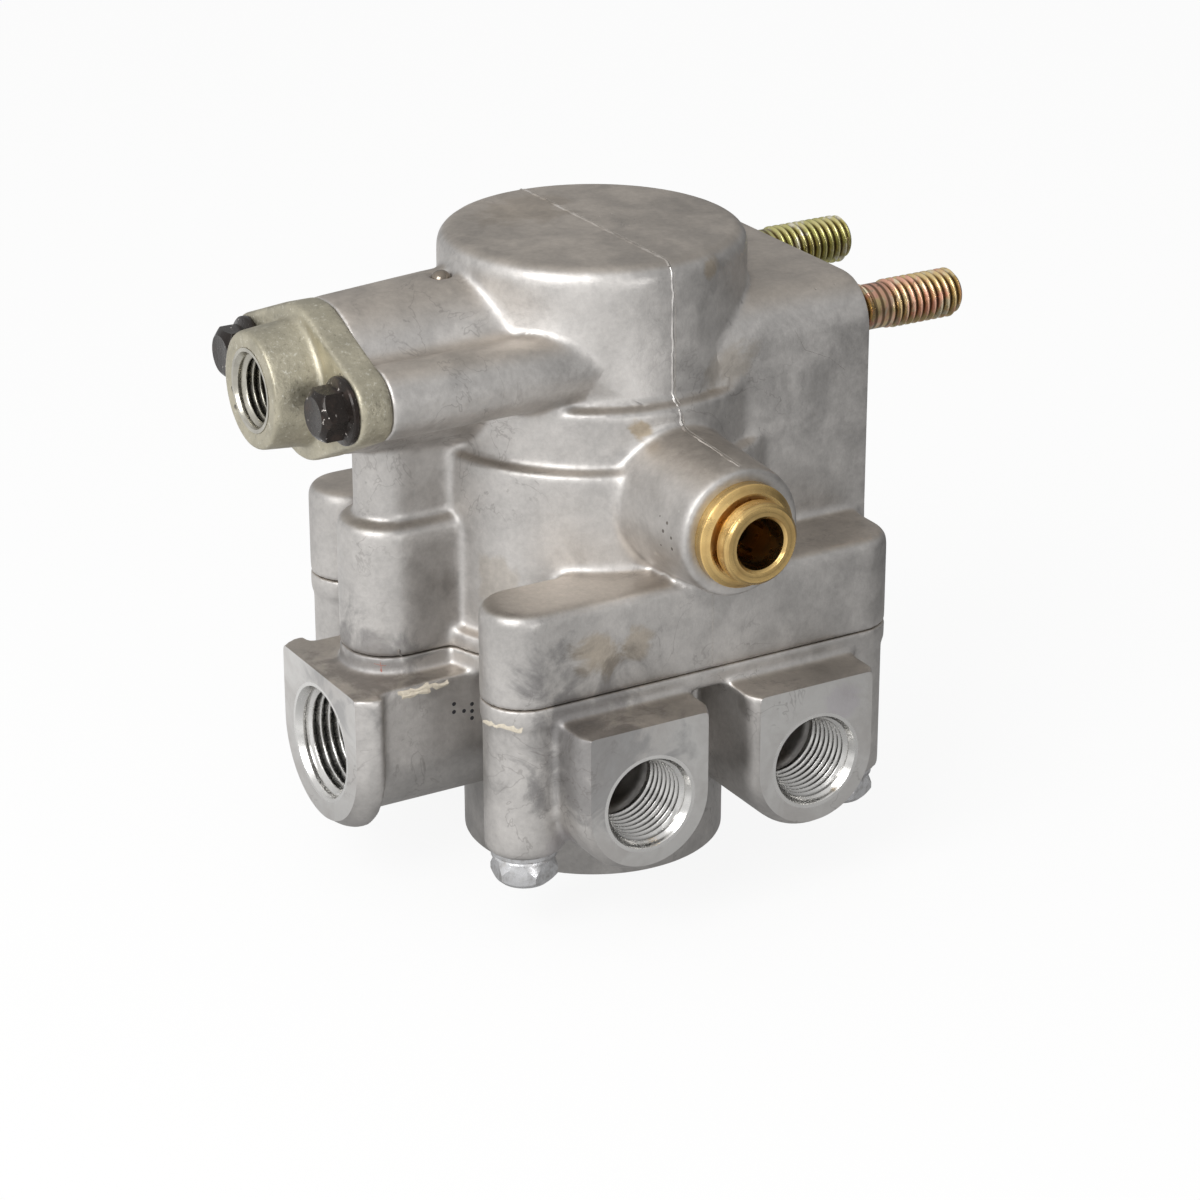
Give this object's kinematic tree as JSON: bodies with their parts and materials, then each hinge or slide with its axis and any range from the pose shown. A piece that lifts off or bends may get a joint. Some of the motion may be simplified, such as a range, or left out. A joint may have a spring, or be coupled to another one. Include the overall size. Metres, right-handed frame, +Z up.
{
  "type": "spring brake modulating valve",
  "caption": "Air-brake valve with stud bracket, control tube, supply, delivery and balance ports, and a relay and modulating piston inside.",
  "frame": {"origin": "on the main axis, at the face of the round exhaust boss", "axes": "+Z up along the main axis, +X out of the mounting face along the studs, -X to the control and supply ports, -Y to the balance fitting"},
  "size_m": [0.1413, 0.1122, 0.1233],
  "materials": {
    "cast_aluminium": "satin die cast",
    "plated_adapter": "olive zinc plate",
    "black_bolt": "black, glossy",
    "zinc_bolt": "bright zinc plate",
    "chromate_stud": "yellow chromate",
    "brass": "turned",
    "rubber": "matte",
    "spring_steel": "bright",
    "machined_aluminium": "machined",
    "acetal": "matte"
  },
  "bodies": {
    "housing": {"adapter_bolts": "black_bolt", "adapter_seal": "rubber", "body_bolts": "zinc_bolt", "body_seal": "rubber", "check_guide": "acetal", "check_seat": "acetal", "control_adapter": "plated_adapter", "cover_ring": "spring_steel", "diaphragm_screw": "spring_steel", "diaphragm_washer": "spring_steel", "exhaust_cover": "machined_aluminium", "exhaust_diaphragm": "rubber", "fitting_body": "brass", "fitting_seal": "rubber", "guide_inner_seal": "rubber", "guide_outer_seal": "rubber", "guide_ring": "spring_steel", "lower_body": "cast_aluminium", "mounting_studs": "chromate_stud", "partition": "machined_aluminium", "partition_ring": "spring_steel", "partition_seal": "rubber", "passage_plug": "spring_steel", "passage_seal": "rubber", "shuttle_cage": "acetal", "upper_body": "cast_aluminium", "valve_guide": "machined_aluminium"},
    "modulating": {"modulating_piston": "machined_aluminium", "modulating_piston_seal": "rubber", "modulating_spring": "spring_steel"},
    "relay": {"relay_piston": "machined_aluminium", "relay_piston_seal": "rubber", "relay_return_spring": "spring_steel"},
    "valve": {"exhaust_valve": "machined_aluminium", "valve_facing": "rubber", "valve_spring": "spring_steel"},
    "shuttle": {"control_shuttle": "rubber"},
    "check": {"check_poppet": "acetal", "check_spring": "spring_steel"},
    "collet": {"fitting_collet": "brass"}
  },
  "joints": [
    {"name": "modulating_slide", "type": "slide", "parent": "housing", "child": "modulating", "axis": [0, 0, 1], "range_m": [0, 0.004], "stiffness_N_per_m": 2000, "springref_m": -0.004, "deforming": ["modulating_spring"]},
    {"name": "relay_slide", "type": "slide", "parent": "housing", "child": "relay", "axis": [0, 0, -1], "range_m": [0, 0.004], "stiffness_N_per_m": 1500, "springref_m": -0.004, "deforming": ["relay_return_spring"]},
    {"name": "valve_slide", "type": "slide", "parent": "housing", "child": "valve", "axis": [0, 0, -1], "range_m": [0, 0.0025], "stiffness_N_per_m": 800, "springref_m": -0.004, "deforming": ["valve_spring"]},
    {"name": "shuttle_slide", "type": "slide", "parent": "housing", "child": "shuttle", "axis": [1, 0, 0], "range_m": [0, 0.0065]},
    {"name": "check_slide", "type": "slide", "parent": "housing", "child": "check", "axis": [1, 0, 0], "range_m": [0, 0.003], "stiffness_N_per_m": 300, "springref_m": -0.003, "deforming": ["check_spring"]},
    {"name": "collet_slide", "type": "slide", "parent": "housing", "child": "collet", "axis": [0, 1, 0], "range_m": [0, 0.001]}
  ],
  "couplings": [
    {"joint": "valve_slide", "follows": "relay_slide", "ratio": 0.625}
  ]
}
